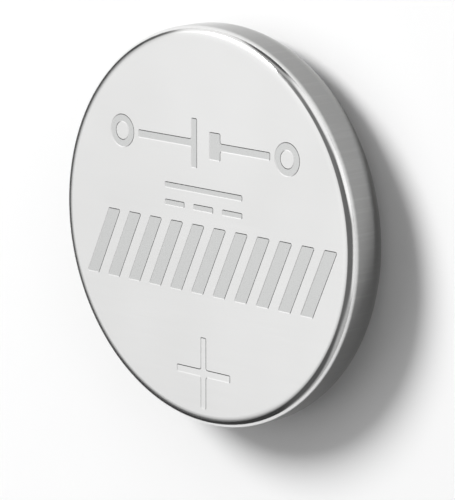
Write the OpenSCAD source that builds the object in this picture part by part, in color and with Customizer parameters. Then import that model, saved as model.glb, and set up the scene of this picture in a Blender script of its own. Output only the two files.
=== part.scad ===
// Lithium coin cell, lying flat on its negative terminal.
// Origin: centre of the negative terminal's flat face. +Z: through the cell, towards the positive face.
// Both metal cups are drawn from thin sheet. The can's wall is crimped inward over the seal and the cap,
// and the bends of can, seal and cap all share one centre.

/* [Cell] */
// Outside diameter over the can's wall
cell_d = 20; // [16:0.1:24.5]
// Height over both terminals
cell_h = 3.2; // [3:0.05:5]
// Height of the crimped lip above the negative terminal's face
lip_rise = 0.3; // [0.2:0.05:0.4]
// Clearance between a cup and the seal
seat_gap = 0.02; // [0.01:0.01:0.04]

/* [Positive can] */
// Sheet thickness of the can
can_t = 0.25; // [0.2:0.01:0.28]
// Width of the rounded edge around the positive face
edge_w = 0.42; // [0.38:0.01:0.46]
// Radius where the positive face turns into that edge
face_corner_r = 0.35; // [0.3:0.01:0.37]
// Radius where that edge runs out into the wall
shoulder_r = 0.54; // [0.5:0.01:0.6]
// Radius of the corner inside the can
can_inside_r = 0.2; // [0.15:0.01:0.22]
// Outside radius of the crimp
crimp_r = 1.4; // [1.25:0.05:1.5]
// Angle through which the wall is crimped inward
crimp_angle = 80; // [70:1:86]

/* [Sealing gasket] */
// Wall of the seal between can and cap
seal_t = 0.32; // [0.25:0.01:0.34]
// Thickness of the seal's foot on the can's floor
foot_t = 0.35; // [0.25:0.01:0.5]
// Thickness of the seal's lip inside the cap's skirt
upstand_t = 0.25; // [0.15:0.01:0.3]
// Clearance between the end of that lip and the bend of the cap
upstand_gap = 0.08; // [0.04:0.01:0.3]
// Clearance between the seal's nose and the fillet of the cap
nose_gap = 0.03; // [0.01:0.01:0.06]
// Radius on the corner of the nose that shows from below
nose_round_r = 0.12; // [0.05:0.01:0.2]

/* [Negative cap] */
// Sheet thickness of the cap
cap_t = 0.25; // [0.2:0.01:0.28]
// Flat ledge between the cap's bend and the fillet at the foot of its pan
ledge_w = 0.18; // [0.1:0.01:0.4]
// Outside radius at the rim of the pan
pan_corner_r = 0.35; // [0.3:0.01:0.45]
// Radius of the fillet at the foot of the pan
pan_fillet_r = 0.12; // [0.05:0.01:0.15]

/* [Lithium anode] */
// Clearance between the lithium disc and the pan's wall
anode_gap = 0.3; // [0.1:0.05:0.8]
// Thickness of the lithium disc
anode_t = 0.7; // [0.4:0.05:0.9]

/* [Separator] */
// Thickness of the nonwoven separator
separator_t = 0.15; // [0.08:0.01:0.18]
// Height of the separator's rim around the pellet
separator_rim_h = 1.1; // [0.3:0.05:1.3]
// Clearance between that rim and the pan's wall
separator_gap = 0.1; // [0.05:0.01:0.2]

/* [Cathode pellet] */
// Clearance between the pellet and the separator's rim
pellet_gap = 0.05; // [0.02:0.01:0.08]
// Chamfer on the pellet's edges
pellet_chamfer = 0.12; // [0.05:0.01:0.2]

/* [Cathode collector] */
// Distance from the pellet's edge to the edge of the collector
collector_inset = 0.25; // [0.15:0.05:0.8]
// Thickness of the collector
collector_t = 0.1; // [0.06:0.01:0.15]
// Solid margin around the collector's openings
collector_margin = 0.5; // [0.3:0.05:1]
// Long way of one diamond opening
diamond_l = 1.7; // [1:0.05:1.9]
// Short way of one diamond opening
diamond_w = 0.85; // [0.5:0.05:1]
// Width of the strands between the openings
strand_w = 0.22; // [0.15:0.01:0.4]

/* [Hidden] */
$fn = 96;

cell_r = cell_d / 2;
// Overshoot of a cutting shape past the face that it cuts
over = 1;

// Centre that the bends of can, seal and cap share, on the section
bend_x = cell_r - crimp_r;
bend_z = lip_rise + crimp_r;
// Centre of the arc that runs out into the can's wall
shoulder_x = cell_r - shoulder_r;
shoulder_z = cell_h - face_corner_r
    - sqrt(pow(shoulder_r - face_corner_r, 2) - pow(shoulder_r - edge_w, 2));

// Distances inward from the can's outer surface to each layer of the closed wall
seal_out = can_t + seat_gap;
seal_in = seal_out + seal_t;
cap_out = seal_in + seat_gap;
cap_in = cap_out + cap_t;

// Heights, from the negative face upward
anode_z = cap_t;
separator_z = anode_z + anode_t;
pellet_z = separator_z + separator_t;
collector_z = cell_h - can_t - collector_t;
pellet_t = collector_z - pellet_z;
foot_top_z = cell_h - seal_out;
foot_z = foot_top_z - foot_t;
upstand_z = bend_z + upstand_gap;
skirt_end_z = foot_z - seat_gap;
ledge_z = lip_rise + cap_out;

// Radii, from the seal's inner lip inward
upstand_r = cell_r - cap_in - seat_gap;
upstand_in_r = upstand_r - upstand_t;
fillet_x = bend_x - ledge_w;
fillet_z = ledge_z - pan_fillet_r;
nose_r = fillet_x + nose_gap;
pan_r = fillet_x - pan_fillet_r;
pan_in_r = pan_r - cap_t;
anode_r = pan_in_r - anode_gap;
separator_r = pan_in_r - separator_gap;
separator_in_r = separator_r - separator_t;
pellet_r = separator_in_r - pellet_gap;
collector_r = pellet_r - collector_inset;

// Half-section of a round block from height low to height high, its two rims rounded
module block_section(r, low, high, low_r, high_r) {
    translate([0, low + low_r]) square([r, high - high_r - low - low_r]);
    translate([0, low]) square([r - low_r, high - low - high_r]);
    translate([r - low_r, low + low_r]) circle(r = low_r);
    if (high_r > 0) {
        translate([0, high - high_r - low_r]) square([r - high_r, high_r + low_r]);
        translate([r - high_r, high - high_r]) circle(r = high_r);
    }
}

// Block section that lies a given distance inside the can's outer surface, up to height high
module layer_section(inset, high, high_r = 0) {
    block_section(cell_r - inset, lip_rise + inset, high, crimp_r - inset, high_r);
}

// Sector of a disc around a centre, from the +X side up to an angle
module sector(x, z, r, angle) {
    reach = 2 * r;
    intersection() {
        translate([x, z]) circle(r = r);
        translate([x, z]) polygon([[0, 0], [reach, 0], [reach * cos(angle), reach * sin(angle)]]);
    }
}

// Outer outline of the can: wall, crimp, and a face edge made of two tangent arcs
module can_outline() {
    corner_x = cell_r - edge_w;
    corner_z = cell_h - face_corner_r;
    layer_section(0, shoulder_z);
    translate([0, bend_z]) square([corner_x, cell_h - bend_z]);
    translate([corner_x, corner_z]) circle(r = face_corner_r);
    sector(shoulder_x, shoulder_z, shoulder_r, atan2(corner_z - shoulder_z, corner_x - shoulder_x));
}

// Everything inside the line on which the crimped lip ends
module mouth_section() {
    reach = 2 * crimp_r;
    end = [bend_x + reach * cos(crimp_angle), bend_z - reach * sin(crimp_angle)];
    polygon([[-over, bend_z], [bend_x, bend_z], end, [-over, end[1]]]);
}

// Drawn steel cup: positive face, rounded edge, wall and crimped lip
module positive_can() {
    color("#cfd0d0") rotate_extrude() difference() {
        can_outline();
        layer_section(can_t, cell_h - can_t, can_inside_r);
        mouth_section();
    }
}

// What is cut from the seal's nose: all inside its end, and the corner that shows below the cap
module nose_cut() {
    round_x = nose_r + nose_round_r;
    nose_z = lip_rise + seal_out;
    translate([-over, 0]) square([nose_r + over, upstand_z]);
    difference() {
        square([round_x, nose_z + nose_round_r]);
        translate([round_x, nose_z + nose_round_r]) circle(r = nose_round_r);
    }
}

// Moulded ring of J section: outer wall, foot, inner lip, and the part that the crimp folds over
module sealing_gasket() {
    color("#3b3f43") rotate_extrude() difference() {
        layer_section(seal_out, foot_top_z, can_inside_r);
        difference() {
            layer_section(seal_in, foot_z);
            translate([upstand_in_r, upstand_z]) square([upstand_t, foot_z - upstand_z + over]);
        }
        translate([-over, upstand_z]) square([upstand_in_r + over, cell_h - upstand_z]);
        nose_cut();
    }
}

// Solid outline of the cap: skirt and shoulder, and the pan that steps down to the terminal's face
module cap_outline() {
    layer_section(cap_out, skirt_end_z);
    block_section(pan_r, 0, skirt_end_z, pan_corner_r, 0);
    difference() {
        translate([0, fillet_z]) square([fillet_x, pan_fillet_r]);
        translate([fillet_x, fillet_z]) circle(r = pan_fillet_r);
    }
}

// Hollow of the cap, one sheet thickness inside its outline
module cap_hollow() {
    bend_r = pan_fillet_r + cap_t;
    layer_section(cap_in, skirt_end_z + over);
    block_section(pan_in_r, cap_t, skirt_end_z, pan_corner_r - cap_t, 0);
    difference() {
        translate([0, fillet_z]) square([fillet_x, bend_r]);
        translate([fillet_x, fillet_z]) circle(r = bend_r);
    }
}

// Drawn steel cap: negative face, step, shoulder under the crimp, and skirt
module negative_cap() {
    color("#c4c5c4") rotate_extrude() difference() {
        cap_outline();
        cap_hollow();
    }
}

// Disc of lithium, pressed onto the cap's floor
module lithium_anode() {
    color("#a9abad") translate([0, 0, anode_z]) cylinder(r = anode_r, h = anode_t);
}

// Nonwoven cup between the electrodes, its rim turned up around the pellet
module separator() {
    color("#f2efe6") translate([0, 0, separator_z]) difference() {
        cylinder(r = separator_r, h = separator_t + separator_rim_h);
        translate([0, 0, separator_t]) cylinder(r = separator_in_r, h = separator_rim_h + over);
    }
}

// Pressed manganese dioxide pellet with chamfered edges
module cathode_pellet() {
    r = pellet_r;
    c = pellet_chamfer;
    color("#2b2b2d") translate([0, 0, pellet_z]) rotate_extrude()
        polygon([[0, 0], [r - c, 0], [r, c], [r, pellet_t - c], [r - c, pellet_t], [0, pellet_t]]);
}

// One diamond opening of the collector
module diamond() {
    polygon([[diamond_l / 2, 0], [0, diamond_w / 2], [-diamond_l / 2, 0], [0, -diamond_w / 2]]);
}

// Expanded-metal disc that joins the pellet to the can: staggered diamonds inside a solid margin
module cathode_collector() {
    // Half the long pitch and half the short pitch, so that every strand is strand_w wide
    slope = sqrt(pow(diamond_l, 2) + pow(diamond_w, 2));
    step_x = diamond_l / 2 + strand_w * slope / diamond_w / 2;
    step_y = diamond_w / 2 + strand_w * slope / diamond_l / 2;
    open_r = collector_r - collector_margin;
    columns = ceil(open_r / step_x);
    rows = ceil(open_r / step_y);
    color("#b5b7b8") translate([0, 0, collector_z]) linear_extrude(collector_t) difference() {
        circle(r = collector_r);
        for (i = [-columns:columns], j = [-rows:rows])
            if ((i + j) % 2 == 0 && norm([abs(i) * step_x + diamond_l / 2, j * step_y]) < open_r)
                translate([i * step_x, j * step_y]) diamond();
    }
}

positive_can();
sealing_gasket();
negative_cap();
lithium_anode();
separator();
cathode_pellet();
cathode_collector();
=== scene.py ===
"""Lithium coin cell lying flat on a pale table, its positive face up, seen from the photograph's angle.

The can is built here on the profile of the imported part, because its face carries etched marks.
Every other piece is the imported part's own, with a procedural material. Lengths below are in
millimetres and turn into metres where Blender takes them.
"""
import math

import bmesh
import bpy
from mathutils import Matrix, Vector


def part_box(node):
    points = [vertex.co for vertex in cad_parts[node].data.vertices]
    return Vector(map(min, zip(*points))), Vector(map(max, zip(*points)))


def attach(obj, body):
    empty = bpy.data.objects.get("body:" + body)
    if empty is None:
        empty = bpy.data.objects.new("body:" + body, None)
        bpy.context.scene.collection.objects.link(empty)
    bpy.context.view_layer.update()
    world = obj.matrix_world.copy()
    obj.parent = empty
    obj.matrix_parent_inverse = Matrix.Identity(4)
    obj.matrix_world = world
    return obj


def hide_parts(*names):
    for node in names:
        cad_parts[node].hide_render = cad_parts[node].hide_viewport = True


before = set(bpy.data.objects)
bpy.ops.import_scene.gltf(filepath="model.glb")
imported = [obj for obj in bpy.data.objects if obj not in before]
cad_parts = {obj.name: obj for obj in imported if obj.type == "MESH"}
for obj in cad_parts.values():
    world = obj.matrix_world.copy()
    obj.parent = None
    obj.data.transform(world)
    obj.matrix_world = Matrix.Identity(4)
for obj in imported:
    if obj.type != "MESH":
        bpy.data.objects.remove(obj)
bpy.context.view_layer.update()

MM = 0.001

# Can, as in the part's source: its radius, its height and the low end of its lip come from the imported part
can_low, can_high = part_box("positive_can")
CELL_R = can_high.x / MM
CELL_H = can_high.z / MM
LIP_END = can_low.z / MM
SHEET_T = 0.25
EDGE_W = 0.42
FACE_CORNER_R = 0.35
SHOULDER_R = 0.54
INSIDE_CORNER_R = 0.2
CRIMP_R = 1.4
CRIMP_ANGLE = 80
LIP_BREAK = 0.03

# Soft run-out of the flat face before its corner, seen in the photograph: radius, and angle in degrees
EASE_R = 1.1
EASE_ANGLE = 13

# Fineness of the lathe body, and the angle from which an edge is shaded as sharp, in degrees
LATHE_STEPS = 288
ARC_STEP = 4.5
SHARP_ANGLE = 28

# Depths below the face down to which the edge is as bright as the face, and from which the wall is darker:
# that darker wall is painted shade, a darker base colour standing in for dark reflection
PAINTED_SHADE_BEGINS = 0.28
PAINTED_SHADE_FULL = 0.54

# Etched marks: depth, width of the sloping side, radius of the corners, width of a stroke,
# and the steps of a corner and of a circle
ETCH_DEPTH = 0.011
ETCH_SIDE = 0.046
ETCH_CORNER_R = 0.09
STROKE = 0.42
CORNER_STEPS = 4
CIRCLE_STEPS = 48

# Camera, from a fit to the photograph's outlines: place, aim, lens, sensor, and nearest distance that it sees
CAMERA_AT = Vector((130.50, 37.35, 132.74))
CAMERA_AIM = Vector((1.69, -0.83, 3.20))
CAMERA_LENS = 275.0
CAMERA_SENSOR = 36
CAMERA_NEAR = 10

# Table: half its width, its grid, and its distance below the negative face
TABLE_HALF = 1500
TABLE_PARTS = 24
TABLE_GAP = 0.01

# Key lamp: direction in which it hangs, distance, diameter, and power in watts
KEY_DIRECTION = Vector((-0.50, 0.54, 0.67))
KEY_DISTANCE = 500
KEY_SIZE = 220
KEY_POWER = 2.38

# Span of a noise texture that its colours and ranges are stretched over
NOISE_LOW = 0.3
NOISE_HIGH = 0.7


# Camera, table and light

def add_camera():
    data = bpy.data.cameras.new("camera")
    data.sensor_width = CAMERA_SENSOR
    data.lens = CAMERA_LENS
    data.clip_start = CAMERA_NEAR * MM
    camera = bpy.data.objects.new("camera", data)
    camera.location = CAMERA_AT * MM
    camera.rotation_euler = look_rotation(CAMERA_AT, CAMERA_AIM)
    bpy.context.scene.collection.objects.link(camera)
    bpy.context.scene.camera = camera


def look_rotation(start, target):
    """Rotation that looks from start to target with +Y upward in the picture."""
    forward = (target - start).normalized()
    right = forward.cross(Vector((0, 1, 0))).normalized()
    up = right.cross(forward)
    columns = (right, up, -forward)
    matrix = [[column[row] for column in columns] for row in range(3)]
    return Matrix(matrix).to_euler()


def add_table():
    """Large pale table top, a hair below the negative face so that the two don't share a plane."""
    bm = bmesh.new()
    bmesh.ops.create_grid(bm, x_segments=TABLE_PARTS, y_segments=TABLE_PARTS, size=TABLE_HALF * MM)
    table = add_object("table", bm)
    table.location.z = -TABLE_GAP * MM
    table.data.materials.append(table_material())


def add_key_lamp():
    """Round soft lamp that points at the middle of the negative face."""
    data = bpy.data.lights.new("key", "AREA")
    data.shape = "DISK"
    data.size = KEY_SIZE * MM
    data.energy = KEY_POWER
    lamp = bpy.data.objects.new("key", data)
    lamp.location = KEY_DIRECTION.normalized() * KEY_DISTANCE * MM
    lamp.rotation_euler = (-lamp.location).to_track_quat("-Z", "Y").to_euler()
    bpy.context.scene.collection.objects.link(lamp)


# Studio surroundings: each zone is a direction, the angles at which it is full and gone, and its brightness
AMBIENT = 0.50
ZONES = [
    # Bright, mirrored by the face and by the top of its rim
    ((-0.72, 0.00, 0.70), 22, 42, 1.07),
    ((-0.65, 0.42, 0.63), 8, 16, 1.30),
    # Dark, mirrored by the corner as the dark line at the right of the face
    ((0.47, -0.06, 0.86), 28, 46, 0.16),
    ((0.05, 0.46, 0.87), 16, 30, 0.20),
    ((-0.12, -0.78, 0.60), 20, 36, 0.11),
    # Bright, mirrored by the shoulder at the right and by the corner at the top
    ((0.93, -0.22, 0.14), 14, 23, 0.95),
    ((0.87, 0.42, 0.24), 14, 24, 1.20),
    ((0.45, 0.84, 0.30), 14, 26, 1.10),
    ((-0.60, 0.68, 0.34), 14, 26, 1.05),
    # Dark and low, mirrored by the shoulder at the upper right and by the corner at the bottom and the left
    ((-0.15, 0.97, 0.15), 9, 18, 0.07),
    ((-0.70, -0.70, 0.13), 30, 40, 0.05),
    ((-1.00, 0.02, 0.08), 25, 35, 0.07),
]


def add_surroundings():
    """Studio round the table, as zones of brightness by direction."""
    bpy.context.scene.view_settings.view_transform = "Standard"
    world = bpy.data.worlds.new("studio")
    world.use_nodes = True
    tree = world.node_tree
    tree.nodes.clear()
    direction = tree.nodes.new("ShaderNodeTexCoord").outputs["Generated"]
    level = None
    for axis, full, gone, brightness in ZONES:
        dot = tree.nodes.new("ShaderNodeVectorMath")
        dot.operation = "DOT_PRODUCT"
        dot.inputs[1].default_value = Vector(axis).normalized()
        tree.links.new(direction, dot.inputs[0])
        share = tree.nodes.new("ShaderNodeMapRange")
        share.interpolation_type = "SMOOTHSTEP"
        share.inputs["From Min"].default_value = math.cos(math.radians(gone))
        share.inputs["From Max"].default_value = math.cos(math.radians(full))
        tree.links.new(dot.outputs["Value"], share.inputs["Value"])
        mix = tree.nodes.new("ShaderNodeMix")
        mix.inputs["A"].default_value = AMBIENT
        mix.inputs["B"].default_value = brightness
        tree.links.new(share.outputs["Result"], mix.inputs["Factor"])
        if level:
            tree.links.new(level, mix.inputs["A"])
        level = mix.outputs["Result"]
    background = tree.nodes.new("ShaderNodeBackground")
    output = tree.nodes.new("ShaderNodeOutputWorld")
    tree.links.new(level, background.inputs["Color"])
    tree.links.new(background.outputs[0], output.inputs["Surface"])
    bpy.context.scene.world = world


# Meshes

def add_object(name, bm):
    mesh = bpy.data.meshes.new(name)
    bm.to_mesh(mesh)
    bm.free()
    obj = bpy.data.objects.new(name, mesh)
    bpy.context.scene.collection.objects.link(obj)
    return obj


def arc_steps(turn):
    """Number of straight steps in an arc that turns by that many degrees."""
    return max(2, math.ceil(abs(turn) / ARC_STEP))


def arc(x, z, r, start, end):
    """Points of an arc on the section, from one angle in degrees to another."""
    count = arc_steps(end - start)
    angles = [math.radians(start + (end - start) * i / count) for i in range(count + 1)]
    return [(x + r * math.cos(a), z + r * math.sin(a)) for a in angles]


def can_profile():
    """Half-section of the can, from the rim of the flat face round the lip to the rim of the inner floor."""
    ease_end = 90 - EASE_ANGLE
    ease_reach = EASE_R - FACE_CORNER_R
    corner_x = CELL_R - EDGE_W
    corner_z = CELL_H - EASE_R + ease_reach * math.sin(math.radians(ease_end))
    ease_x = corner_x - ease_reach * math.cos(math.radians(ease_end))
    shoulder_x = CELL_R - SHOULDER_R
    shoulder_z = corner_z - math.sqrt((SHOULDER_R - FACE_CORNER_R) ** 2 - (SHOULDER_R - EDGE_W) ** 2)
    join = math.degrees(math.atan2(corner_z - shoulder_z, corner_x - shoulder_x))
    bend_x = CELL_R - CRIMP_R
    bend_z = LIP_END + CRIMP_R * math.sin(math.radians(CRIMP_ANGLE))
    inner_r = CRIMP_R - SHEET_T
    outer_break = math.degrees(LIP_BREAK / CRIMP_R)
    inner_break = math.degrees(LIP_BREAK / inner_r)
    outer = arc(bend_x, bend_z, CRIMP_R, 0, outer_break - CRIMP_ANGLE)
    lip = [arc(bend_x, bend_z, r, -CRIMP_ANGLE, -CRIMP_ANGLE)[0]
           for r in (CRIMP_R - LIP_BREAK, inner_r + LIP_BREAK)]
    inner = arc(bend_x, bend_z, inner_r, inner_break - CRIMP_ANGLE, 0)
    floor_z = CELL_H - SHEET_T
    inside_x = CELL_R - SHEET_T - INSIDE_CORNER_R
    inside = arc(inside_x, floor_z - INSIDE_CORNER_R, INSIDE_CORNER_R, 0, 90)
    ease = arc(ease_x, CELL_H - EASE_R, EASE_R, 90, ease_end)
    edge = arc(corner_x, corner_z, FACE_CORNER_R, ease_end, join)
    shoulder = arc(shoulder_x, shoulder_z, SHOULDER_R, join, 0)
    return ease + edge[1:] + shoulder[1:] + outer + lip + inner + inside


def ring(bm, r, z):
    """Ring of vertices round the cell's axis."""
    turn = 2 * math.pi / LATHE_STEPS
    return [bm.verts.new((r * MM * math.cos(i * turn), r * MM * math.sin(i * turn), z * MM))
            for i in range(LATHE_STEPS)]


def raised(bm, points, z):
    """Vertices of a flat loop at one height."""
    return [bm.verts.new((p.x * MM, p.y * MM, z * MM)) for p in points]


def join_rings(bm, upper, lower, material, smooth):
    """Band of quads between two rings of as many vertices."""
    count = len(upper)
    for i in range(count):
        k = (i + 1) % count
        face = bm.faces.new((upper[i], lower[i], lower[k], upper[k]))
        face.material_index = material
        face.smooth = smooth


def loop_edges(bm, loop):
    """Edges of a closed loop of vertices."""
    pairs = zip(loop, loop[1:] + loop[:1])
    return [bm.edges.get(pair) or bm.edges.new(pair) for pair in pairs]


def fill(bm, loops, material):
    """Flat faces inside the first loop and outside the others, facing upward."""
    edges = [edge for loop in loops for edge in loop_edges(bm, loop)]
    made = bmesh.ops.triangle_fill(bm, edges=edges, use_beauty=True, normal=(0, 0, 1))
    for face in made["geom"]:
        if isinstance(face, bmesh.types.BMFace):
            face.material_index = material
            if face.normal.z < 0:
                face.normal_flip()


# Marks on the face

def outline(corners, inset):
    """Anticlockwise outline with rounded corners, moved inward by a distance."""
    loop = []
    count = len(corners)
    for i in range(count):
        point, last, following = (Vector(corners[k % count]) for k in (i, i - 1, i + 1))
        along, onward = (point - last).normalized(), (following - point).normalized()
        before, after = Vector((along.y, -along.x)), Vector((onward.y, -onward.x))
        side = 1 if along.cross(onward) > 0 else -1
        centre = point - side * ETCH_CORNER_R * (before + after) / (1 + before.dot(after))
        radius = side * ETCH_CORNER_R - inset
        for step in range(CORNER_STEPS + 1):
            loop.append(centre + before.lerp(after, step / CORNER_STEPS).normalized() * radius)
    return loop


def circle(x, y, r):
    angles = [2 * math.pi * i / CIRCLE_STEPS for i in range(CIRCLE_STEPS)]
    return [Vector((x + r * math.cos(a), y + r * math.sin(a))) for a in angles]


def box_corners(x0, y0, x1, y1):
    return [(x0, y0), (x1, y0), (x1, y1), (x0, y1)]


def bar_mark(corners, side=ETCH_SIDE):
    """Mark bounded by one outline: its loops at the face and at the etched floor."""
    return [(outline(corners, 0), outline(corners, side))]


def ring_mark(x, y, r):
    """Round stroke: its outer loops, then those of the island inside it."""
    return [(circle(x, y, r), circle(x, y, r - ETCH_SIDE)),
            (circle(x, y, r - STROKE), circle(x, y, r - STROKE + ETCH_SIDE))]


def plus_corners(x, y, reach_x, reach_y, stroke):
    s = stroke / 2
    return [(x + dx, y + dy) for dx, dy in (
        (-s, -reach_y), (s, -reach_y), (s, -s), (reach_x, -s), (reach_x, s), (s, s),
        (s, reach_y), (-s, reach_y), (-s, s), (-reach_x, s), (-reach_x, -s), (-s, -s))]


def plate_corners(end_x, plate_x, plate_w, plate_h, y):
    """T of the circuit symbol: a lead from end_x that meets an upright plate."""
    s = STROKE / 2
    h = plate_h / 2
    if end_x < plate_x:
        near, far = plate_x, plate_x + plate_w
        return [(end_x, y - s), (near, y - s), (near, y - h), (far, y - h),
                (far, y + h), (near, y + h), (near, y + s), (end_x, y + s)]
    near, far = plate_x, plate_x - plate_w
    return [(end_x, y + s), (near, y + s), (near, y + h), (far, y + h),
            (far, y - h), (near, y - h), (near, y - s), (end_x, y - s)]


# Circuit symbol of one cell, in the upper row: each plate has a width and a height
SYMBOL_Y = 4.18
SYMBOL_END = 6.56
TERMINAL_R = 0.85
LEAD_GAP = 0.28
PLATE_X = 0.42
LONG_PLATE = (STROKE, 2.5)
SHORT_PLATE = (0.78, 1.4)

# Direct-current symbol below it: a bar over three dashes
CURRENT_W = 5.4
CURRENT_STROKE = 0.32
CURRENT_BAR_Y = 1.86
CURRENT_DASH_Y = 0.98
DASH_GAP = 0.6

# Band of slanted bars: a bar takes up its share of the pitch
BAND_LOW = -3.36
BAND_HIGH = 0.14
BAND_LEFT = -8.35
BAND_RIGHT = 7.45
BAND_LEAN = 1.62
BAND_BARS = 11
BAR_SHARE = 0.58

# Plus sign near the lower edge: it reaches across, then up and down
PLUS_Y = -7.32
PLUS_REACH = (1.87, 1.82)
PLUS_STROKE = 0.40
PLUS_DEPTH = 0.013
PLUS_SIDE = 0.048


def symbol_marks():
    lead_end = SYMBOL_END - 2 * TERMINAL_R - LEAD_GAP
    terminal_x = SYMBOL_END - TERMINAL_R
    return [
        ring_mark(-terminal_x, SYMBOL_Y, TERMINAL_R),
        bar_mark(plate_corners(-lead_end, -PLATE_X - LONG_PLATE[0], *LONG_PLATE, SYMBOL_Y)),
        bar_mark(plate_corners(lead_end, PLATE_X + SHORT_PLATE[0], *SHORT_PLATE, SYMBOL_Y)),
        ring_mark(terminal_x, SYMBOL_Y, TERMINAL_R),
    ]


def current_marks():
    half = CURRENT_W / 2
    s = CURRENT_STROKE / 2
    dash = (CURRENT_W - 2 * DASH_GAP) / 3
    marks = [bar_mark(box_corners(-half, CURRENT_BAR_Y - s, half, CURRENT_BAR_Y + s))]
    for i in range(3):
        x = -half + i * (dash + DASH_GAP)
        marks.append(bar_mark(box_corners(x, CURRENT_DASH_Y - s, x + dash, CURRENT_DASH_Y + s)))
    return marks


def band_marks():
    pitch = (BAND_RIGHT - BAND_LEFT) / (BAND_BARS - 1 + BAR_SHARE)
    width = pitch * BAR_SHARE
    marks = []
    for i in range(BAND_BARS):
        x = BAND_LEFT + i * pitch
        marks.append(bar_mark([(x, BAND_LOW), (x + width, BAND_LOW),
                               (x + width + BAND_LEAN, BAND_HIGH), (x + BAND_LEAN, BAND_HIGH)]))
    return marks


def plus_mark():
    return bar_mark(plus_corners(0, PLUS_Y, *PLUS_REACH, PLUS_STROKE), PLUS_SIDE)


# Places of the can's three materials in its list
FACE, ETCHED, WALL = 0, 1, 2


def cut_mark(bm, mark, depth, material):
    """Recess with sloping sides, its floor and the top of any island. Gives its outline on the face."""
    pairs = [(raised(bm, high, CELL_H), raised(bm, low, CELL_H - depth)) for high, low in mark]
    for high, low in pairs:
        join_rings(bm, low, high, FACE, smooth=False)
    fill(bm, [low for high, low in pairs], material)
    for high, low in pairs[1:]:
        fill(bm, [high], FACE)
    return pairs[0][0]


def add_can():
    """Can as a lathe body whose face carries the recessed marks."""
    bm = bmesh.new()
    rings = [ring(bm, r, z) for r, z in can_profile()]
    ease_bands = arc_steps(EASE_ANGLE)
    for i, (upper, lower) in enumerate(zip(rings, rings[1:])):
        join_rings(bm, upper, lower, FACE if i < ease_bands else WALL, smooth=True)
    inner_floor = bm.faces.new(rings[-1])
    inner_floor.material_index = WALL
    etched = symbol_marks() + current_marks() + band_marks()
    holes = [cut_mark(bm, mark, ETCH_DEPTH, ETCHED) for mark in etched]
    holes.append(cut_mark(bm, plus_mark(), PLUS_DEPTH, FACE))
    fill(bm, [rings[0]] + holes, FACE)
    bmesh.ops.recalc_face_normals(bm, faces=bm.faces)
    for edge in bm.edges:
        edge.smooth = edge.calc_face_angle(0) < math.radians(SHARP_ANGLE)
    can = add_object("can", bm)
    for material in (face_material(), etched_material(), wall_material()):
        can.data.materials.append(material)
    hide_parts("positive_can")
    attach(can, "root")


# Materials

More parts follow.
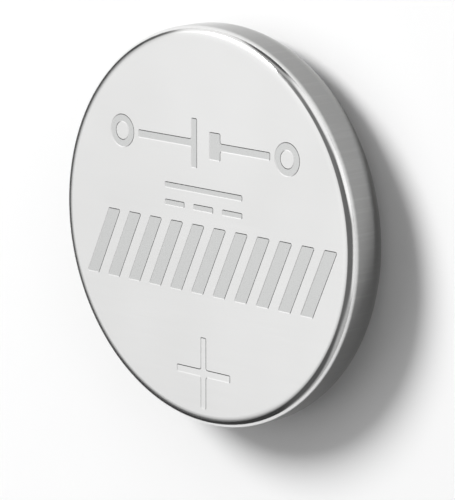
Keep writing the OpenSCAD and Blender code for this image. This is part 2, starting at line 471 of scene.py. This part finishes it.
class Finish:
    """Principled material whose colour, roughness and relief come from procedural textures."""

    def __init__(self, name, metallic, **constants):
        self.material = bpy.data.materials.new(name)
        self.material.use_nodes = True
        self.tree = self.material.node_tree
        self.shader = self.tree.nodes["Principled BSDF"]
        self.shader.inputs["Metallic"].default_value = metallic
        for socket, value in constants.items():
            self.shader.inputs[socket.replace("_", " ")].default_value = value
        self.place = self.tree.nodes.new("ShaderNodeTexCoord").outputs["Object"]
        self.relief = None

    def node(self, kind, **values):
        node = self.tree.nodes.new("ShaderNode" + kind)
        for key, value in values.items():
            setattr(node, key, value)
        return node

    def grains(self, grain_mm, stretch=(1, 1, 1)):
        """Place counted in grains of that many millimetres, longer along the axes with a small stretch."""
        mapping = self.node("Mapping")
        mapping.inputs["Scale"].default_value = [s / (grain_mm * MM) for s in stretch]
        self.tree.links.new(self.place, mapping.inputs["Vector"])
        return mapping.outputs[0]

    def noise(self, grain_mm, stretch=(1, 1, 1), detail=3.0, rough=0.55):
        """Cloudy or lined noise."""
        noise = self.node("TexNoise")
        noise.inputs["Scale"].default_value = 1.0
        noise.inputs["Detail"].default_value = detail
        noise.inputs["Roughness"].default_value = rough
        self.tree.links.new(self.grains(grain_mm, stretch), noise.inputs["Vector"])
        return noise.outputs["Fac"]

    def cells(self, grain_mm, feature="F1"):
        """Distance from the middle of the nearest of many small cells."""
        cells = self.node("TexVoronoi", feature=feature)
        cells.inputs["Scale"].default_value = 1.0
        self.tree.links.new(self.grains(grain_mm), cells.inputs["Vector"])
        return cells.outputs["Distance"]

    def ranged(self, value, low, high):
        """Noise stretched over a range of its own."""
        node = self.node("MapRange")
        node.inputs["From Min"].default_value = NOISE_LOW
        node.inputs["From Max"].default_value = NOISE_HIGH
        node.inputs["To Min"].default_value = low
        node.inputs["To Max"].default_value = high
        self.tree.links.new(value, node.inputs["Value"])
        return node.outputs["Result"]

    def height(self, low_mm, high_mm):
        """Smooth share from 0 at one height on the cell to 1 at another."""
        split = self.node("SeparateXYZ")
        self.tree.links.new(self.place, split.inputs[0])
        share = self.node("MapRange", interpolation_type="SMOOTHSTEP")
        share.inputs["From Min"].default_value = low_mm * MM
        share.inputs["From Max"].default_value = high_mm * MM
        self.tree.links.new(split.outputs["Z"], share.inputs["Value"])
        return share.outputs["Result"]

    def sum(self, first, second):
        node = self.node("Math", operation="ADD")
        self.tree.links.new(first, node.inputs[0])
        self.tree.links.new(second, node.inputs[1])
        return node.outputs[0]

    def color(self, value, dark, light, start=NOISE_LOW, end=NOISE_HIGH):
        """Base colour that runs from dark to light."""
        ramp = self.node("ValToRGB")
        ramp.color_ramp.elements[0].position = start
        ramp.color_ramp.elements[1].position = end
        ramp.color_ramp.elements[0].color = (*dark, 1)
        ramp.color_ramp.elements[1].color = (*light, 1)
        self.tree.links.new(value, ramp.inputs["Fac"])
        self.tree.links.new(ramp.outputs["Color"], self.shader.inputs["Base Color"])

    def roughness(self, value, low, high):
        self.tree.links.new(self.ranged(value, low, high), self.shader.inputs["Roughness"])

    def bump(self, value, height_mm):
        """Relief of that height, on top of any relief given before."""
        bump = self.node("Bump")
        bump.inputs["Strength"].default_value = 1.0
        bump.inputs["Distance"].default_value = height_mm * MM
        self.tree.links.new(value, bump.inputs["Height"])
        if self.relief:
            self.tree.links.new(self.relief, bump.inputs["Normal"])
        self.relief = bump.outputs["Normal"]
        self.tree.links.new(self.relief, self.shader.inputs["Normal"])


def face_material():
    """Bright satin sheet: long faint rolling lines under a fine even grain."""
    finish = Finish("satin_steel_face", 1.0)
    lines = finish.noise(0.12, stretch=(0.03, 1, 1), detail=4)
    grain = finish.noise(0.035, detail=2)
    cloud = finish.noise(6.0, detail=1)
    finish.color(cloud, (0.765, 0.765, 0.760), (0.800, 0.800, 0.796))
    finish.roughness(lines, 0.21, 0.23)
    finish.bump(grain, 0.0004)
    finish.bump(lines, 0.0001)
    return finish.material


def etched_material():
    """Matt floor of the etched marks."""
    finish = Finish("etched_steel", 1.0)
    grain = finish.noise(0.05, detail=3)
    finish.color(grain, (0.65, 0.655, 0.65), (0.72, 0.725, 0.72))
    finish.roughness(grain, 0.26, 0.33)
    finish.bump(grain, 0.0015)
    return finish.material


def wall_material():
    """Rounded edge as bright as the face, then a wall darkened by painted shade in its base colour, with fine
    streaks along the axis.
    """
    finish = Finish("steel_wall_painted_shade", 1.0)
    streaks = finish.noise(0.16, stretch=(1, 1, 0.03), detail=4)
    wide = finish.noise(1.2, stretch=(1, 1, 0.05), detail=2)
    # Painted shade: the base colour darkens with depth below the face, standing in for dark reflection, not
    # for a different finish
    unshaded_share = finish.height(CELL_H - PAINTED_SHADE_FULL, CELL_H - PAINTED_SHADE_BEGINS)
    finish.color(finish.sum(unshaded_share, finish.ranged(streaks, -0.05, 0.05)),
                 (0.30, 0.30, 0.297), (0.785, 0.785, 0.78), start=0, end=1)
    finish.roughness(wide, 0.10, 0.17)
    finish.bump(streaks, 0.0004)
    return finish.material


def cap_material():
    """Satin cap with the fine stipple of the press."""
    finish = Finish("stippled_steel_cap", 1.0)
    stipple = finish.cells(0.11, feature="SMOOTH_F1")
    grain = finish.noise(0.04, detail=2)
    cloud = finish.noise(3.0, detail=2)
    finish.color(cloud, (0.66, 0.66, 0.65), (0.73, 0.73, 0.725))
    finish.roughness(grain, 0.26, 0.36)
    finish.bump(stipple, 0.006)
    finish.bump(grain, 0.001)
    return finish.material


def seal_material():
    """Matt moulded plastic."""
    finish = Finish("moulded_seal", 0.0, Specular_IOR_Level=0.4)
    grain = finish.noise(0.06, detail=4)
    cloud = finish.noise(1.5, detail=2)
    finish.color(cloud, (0.055, 0.058, 0.062), (0.080, 0.084, 0.090))
    finish.roughness(grain, 0.48, 0.62)
    finish.bump(grain, 0.004)
    return finish.material


def lithium_material():
    """Soft dull metal: roller lines across it and a clouded surface film."""
    finish = Finish("lithium", 1.0)
    lines = finish.noise(0.25, stretch=(0.04, 1, 1), detail=4)
    cloud = finish.noise(2.2, detail=5, rough=0.65)
    finish.color(cloud, (0.36, 0.36, 0.37), (0.58, 0.585, 0.60))
    finish.roughness(cloud, 0.38, 0.60)
    finish.bump(lines, 0.006)
    return finish.material


def separator_material():
    """Nonwoven felt: crossing fibres pressed into a thin sheet."""
    finish = Finish("nonwoven_separator", 0.0, Sheen_Weight=0.25)
    along = finish.noise(0.09, stretch=(0.12, 1, 1), detail=2)
    across = finish.noise(0.09, stretch=(1, 0.12, 1), detail=2)
    clump = finish.noise(0.9, detail=4)
    finish.color(clump, (0.80, 0.78, 0.73), (0.90, 0.88, 0.83))
    finish.roughness(clump, 0.78, 0.92)
    finish.bump(along, 0.02)
    finish.bump(across, 0.02)
    return finish.material


def pellet_material():
    """Pressed black powder with a slightly burnished skin."""
    finish = Finish("pressed_cathode", 0.0, Specular_IOR_Level=0.35)
    grain = finish.cells(0.07)
    cloud = finish.noise(1.3, detail=5, rough=0.6)
    finish.color(cloud, (0.022, 0.021, 0.022), (0.058, 0.055, 0.056))
    finish.roughness(cloud, 0.62, 0.85)
    finish.bump(grain, 0.014)
    return finish.material


def collector_material():
    """Expanded sheet: dull strands with fine tool marks."""
    finish = Finish("expanded_steel", 1.0)
    marks = finish.noise(0.10, stretch=(1, 0.15, 1), detail=3)
    finish.color(marks, (0.46, 0.465, 0.47), (0.62, 0.625, 0.63))
    finish.roughness(marks, 0.30, 0.44)
    finish.bump(marks, 0.003)
    return finish.material


def table_material():
    """Plain pale table top with the faintest mottling."""
    finish = Finish("pale_table", 0.0, Specular_IOR_Level=0.1)
    cloud = finish.noise(18, detail=3)
    finish.color(cloud, (0.930, 0.930, 0.930), (0.945, 0.945, 0.945))
    finish.roughness(cloud, 0.75, 0.85)
    return finish.material


NODE_FINISHES = {
    "sealing_gasket": seal_material,
    "negative_cap": cap_material,
    "lithium_anode": lithium_material,
    "separator": separator_material,
    "cathode_pellet": pellet_material,
    "cathode_collector": collector_material,
}


def dress_nodes():
    """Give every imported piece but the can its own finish."""
    for name, make in NODE_FINISHES.items():
        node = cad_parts[name]
        node.data.materials.clear()
        node.data.materials.append(make())


add_camera()
add_surroundings()
add_key_lamp()
add_table()
dress_nodes()
add_can()
